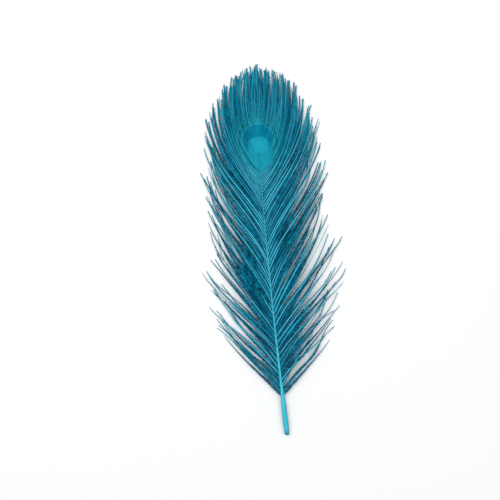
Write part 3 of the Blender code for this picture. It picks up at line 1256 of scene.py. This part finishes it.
@dataclass(frozen=True)
class ShaftFinish:
    """Dyed keratin, glossy, with a painted highlight along its ridge and painted shade down its
    flanks; pale in its groove.

    Places along the shaft are shares of its length, and heights run from 0 at its underside to 1
    at its top.
    """

    name: str
    eye: EyeRings
    rachis_from: tuple = (0.10, 0.42)
    thread_from: tuple = (0.55, 0.80)
    eye_from: tuple = (0.76, 0.82)
    ridge_light_from: tuple = (0.76, 0.97)  # heights where the flanks' painted shade ends and the ridge's colour is whole
    groove_from: tuple = (0.16, 0.02)  # heights
    grooved_from: tuple = (0.10, 0.25)
    worn_from: tuple = (0.022, 0.0)
    worn_share: tuple = (0.4, 0.8)  # the least, and what scuffs add
    # painted highlight: long bright streaks along the ridge
    streak_waves: tuple = (1100.0, 22.0)  # across and along, to a metre
    highlight_streak_from: tuple = (0.45, 0.65)
    streak_share: float = 0.4
    scuff_waves: tuple = (700.0, 260.0)
    scuff_from: tuple = (0.56, 0.70)
    scuff_share: float = 0.5
    fibre_waves: tuple = (5200.0, 60.0)
    fibre_height: float = 0.05 * MM
    shade: tuple = (0.80, 0.4, 0.2)  # the least, what fibres add, and the painted light that brightens the shaft in the eye
    roughness: tuple = (0.28, 0.2)  # the least, and what fibres add
    quill: tuple = srgb(48, 192, 216)
    rachis: tuple = srgb(62, 176, 198)
    # painted shade down the shaft's flanks
    flank_shade: tuple = srgb(12, 132, 156)
    thread: tuple = srgb(40, 146, 166)
    worn: tuple = srgb(16, 104, 126)
    groove: tuple = srgb(126, 200, 208)
    # the specular tint, and the colour of the painted highlight streaks on the ridge
    gloss: tuple = srgb(120, 232, 244)

    def material(self) -> bpy.types.Material:
        """The material.

        A gradient runs along the shaft, and painted shade darkens its flanks. Long streaks of painted
        highlight lie on the ridge, fine fibres all over, and scuffs below the eye and round the cut.
        In the eye the shaft is brightened with painted light.

        Returns:
            The material.
        """
        nodes = Nodes(self.name)
        share, height, _ = nodes.barb()
        fibre = self._drawn_out(nodes, self.fibre_waves, 4.0, 0.6)
        scuff = self._drawn_out(nodes, self.scuff_waves, 3.0)
        streak = self._drawn_out(nodes, self.streak_waves, 2.0)
        colour = nodes.mix(share.eased(*self.rachis_from), self.quill, self.rachis)
        colour = nodes.mix(share.eased(*self.thread_from), colour, self.thread)
        # painted shade: the flanks darken below the ridge
        ridge = height.eased(*self.ridge_light_from)
        colour = nodes.mix(ridge, self.flank_shade, colour)
        # painted highlight: bright streaks on the ridge
        lit = ridge * streak.eased(*self.highlight_streak_from)
        colour = nodes.mix(lit * self.streak_share, colour, self.gloss)
        in_eye = share.eased(*self.eye_from)
        colour = nodes.mix(in_eye, colour, self.eye.paint(nodes, colour, share, share))
        groove = height.eased(*self.groove_from) * share.eased(*self.grooved_from)
        colour = nodes.mix(groove, colour, self.groove)
        worn = share.eased(*self.worn_from) * (self.worn_share[0] + scuff * self.worn_share[1])
        colour = nodes.mix(worn, colour, self.worn)
        scuffed = scuff.eased(*self.scuff_from) * (1.0 - in_eye)
        colour = nodes.mix(scuffed * self.scuff_share, colour, self.worn)
        # painted light: the shaft is brightened in the eye
        shade = self.shade[0] + fibre * self.shade[1] + in_eye * self.shade[2]
        return nodes.dress(
            Base_Color=nodes.shaded(shade, colour),
            Roughness=self.roughness[0] + fibre * self.roughness[1],
            Specular_Tint=self.gloss,
            Normal=nodes.bump(fibre, 0.35, self.fibre_height),
        )

    @staticmethod
    def _drawn_out(nodes: Nodes, waves: tuple, detail: float, rough: float = 0.5) -> Value:
        """Noise that is drawn out along the shaft.

        Args:
            nodes: the material's nodes.
            waves: how many waves there are to a metre, across the shaft and along it.
            detail: how many finer layers are added.
            rough: how strong each layer is next to the one before.

        Returns:
            The noise, 0 to 1.
        """
        x, y, z = nodes.parts(nodes.place())
        drawn = nodes.vector(x * waves[0], y * waves[1], z * waves[0])
        return nodes.noise(drawn, 1.0, detail, rough)


@dataclass(frozen=True)
class PithFinish:
    """Dry foamy pith, pale with a tint of the dye."""

    name: str = "dry_pith"
    cells: float = 4200.0  # to a metre
    hole_edge: tuple = (0.55, 0.2)  # how far from the middles of cells walls and holes begin
    cell_depth: float = 0.08 * MM
    pale: tuple = srgb(176, 214, 210)
    hole: tuple = srgb(52, 128, 138)

    def material(self) -> bpy.types.Material:
        """The material: small dark cells in a pale foam.

        Returns:
            The material.
        """
        nodes = Nodes(self.name)
        inputs = {"Vector": nodes.place(), "Scale": self.cells}
        cells = nodes.add("ShaderNodeTexVoronoi", {}, inputs)
        colour = nodes.mix(cells.eased(*self.hole_edge), self.hole, self.pale)
        bump = nodes.bump(cells, 0.5, self.cell_depth)
        return nodes.dress(Base_Color=colour, Roughness=0.9, Normal=bump)


@dataclass(frozen=True)
class FloorFinish:
    """A plain pale tabletop."""

    name: str = "pale_floor"
    pale: tuple = (0.95, 0.962, 0.964, 1.0)

    def material(self) -> bpy.types.Material:
        """The material: one matt near-white, a trace cool."""
        return Nodes(self.name).dress(Base_Color=self.pale, Roughness=0.8)


# --------------------------------------------------------------------------- studio


@dataclass(frozen=True)
class Studio:
    """The floor, the soft light and the camera that looks straight down on the feather."""

    plan: Plan
    floor_half: float = 3.0
    lens: float = 60.0
    sensor: float = 36.0
    view_width: float = 1.352  # width of the view as a share of the feather's length
    view_aside: float = -0.0538  # middle of the view from the cut end, as shares of the length
    view_along: float = 0.5045
    roll: float = 5.28  # degrees that the feather leans to the left in the view
    world_light: float = 0.50
    lamps: tuple = (  # place, size and power
        ((-0.55, 0.45, 1.10), 0.9, 8.2),
        ((0.75, -0.25, 1.30), 1.2, 7.0),
    )

    def build(self) -> None:
        """Makes the floor, the world, the lamps and the camera."""
        self._floor()
        self._light()
        self._camera()
        bpy.context.scene.view_settings.view_transform = "Standard"

    def _floor(self) -> None:
        """A square floor at the height that the feather rests on."""
        corner = np.array(((-1.0, -1.0, 0.0), (1.0, -1.0, 0.0), (1.0, 1.0, 0.0), (-1.0, 1.0, 0.0)))
        mesh = bpy.data.meshes.new("floor")
        mesh.from_pydata((corner * self.floor_half).tolist(), [], [(0, 1, 2, 3)])
        mesh.materials.append(FloorFinish().material())
        floor = bpy.data.objects.new("floor", mesh)
        bpy.context.collection.objects.link(floor)

    def _light(self) -> None:
        """A white world and large area lamps aimed at the feather."""
        world = bpy.data.worlds.new("studio")
        world.use_nodes = True
        background = world.node_tree.nodes["Background"]
        background.inputs["Color"].default_value = (1.0, 1.0, 1.0, 1.0)
        background.inputs["Strength"].default_value = self.world_light
        bpy.context.scene.world = world
        for number, (place, size, power) in enumerate(self.lamps):
            data = bpy.data.lights.new(f"lamp_{number}", "AREA")
            data.size = size
            data.energy = power
            lamp = bpy.data.objects.new(data.name, data)
            lamp.location = place
            lamp.rotation_euler = lamp.location.to_track_quat("Z", "Y").to_euler()
            bpy.context.collection.objects.link(lamp)

    def _camera(self) -> None:
        """A camera straight above, its height such that the view has the width asked for."""
        plan = self.plan
        data = bpy.data.cameras.new("camera")
        data.lens = self.lens
        data.sensor_width = self.sensor
        height = self.view_width * plan.length * self.lens / self.sensor
        camera = bpy.data.objects.new("camera", data)
        x = plan.cut[0] + self.view_aside * plan.length
        camera.location = (x, plan.cut[1] + self.view_along * plan.length, height)
        camera.rotation_euler = (0.0, 0.0, -np.radians(self.roll))
        bpy.context.collection.objects.link(camera)
        bpy.context.scene.camera = camera


# --------------------------------------------------------------------------- assembly


@dataclass(frozen=True)
class Feather:
    """The whole feather: its shaft and two vanes, each vane in runs of barbs."""

    plan: Plan
    seeds: Mapping = field(default_factory=lambda: {Side.LEFT: 71, Side.RIGHT: 80})
    runs: tuple = (
        ("lower_barbs", 0.0, 0.100), ("middle_barbs", 0.100, 0.150),
        ("upper_barbs", 0.150, 0.200), ("eye_barbs", 0.200, 1.0),
    )

    def build(self) -> None:
        """Builds and dresses every piece."""
        shaft, eye = Shaft(self.plan), EyeRings(self.plan.eye())
        piece("rachis", shaft.surface(), ShaftFinish("dyed_keratin", eye).material(), "shaft", "shaft")
        piece("quill_pith", shaft.pith(), PithFinish().material(), "shaft")
        finish = BarbFinish("dyed_barbs", eye).material()
        for side in Side:
            self._vane(side, finish)

    def _vane(self, side: Side, finish: bpy.types.Material) -> None:
        """Builds one vane's runs of barbs, each a piece of stems and barbules.

        Args:
            side: which vane.
            finish: the barbs' material.
        """
        barbs = Vane(side, self.plan, Growth(), self.seeds[side]).grow()
        root = barbs.paths[:, 0, 1] - self.plan.cut[1]
        word = side.name.lower()
        for name, low, high in self.runs:
            first, last = np.searchsorted(root, (low, high))
            run = barbs.some(slice(first, last))
            surface = Surface.joined([Stems().surface(run, side), Barbules().surface(run)])
            piece(f"{word}_{name}", surface, finish, "barbs", f"{word}_vane")


def main() -> None:
    """Builds the feather and its studio."""
    logging.basicConfig(level=logging.INFO, format="%(name)s: %(message)s")
    plan = Plan.from_frame()
    Studio(plan).build()
    Feather(plan).build()


if __name__ == "__main__":
    main()
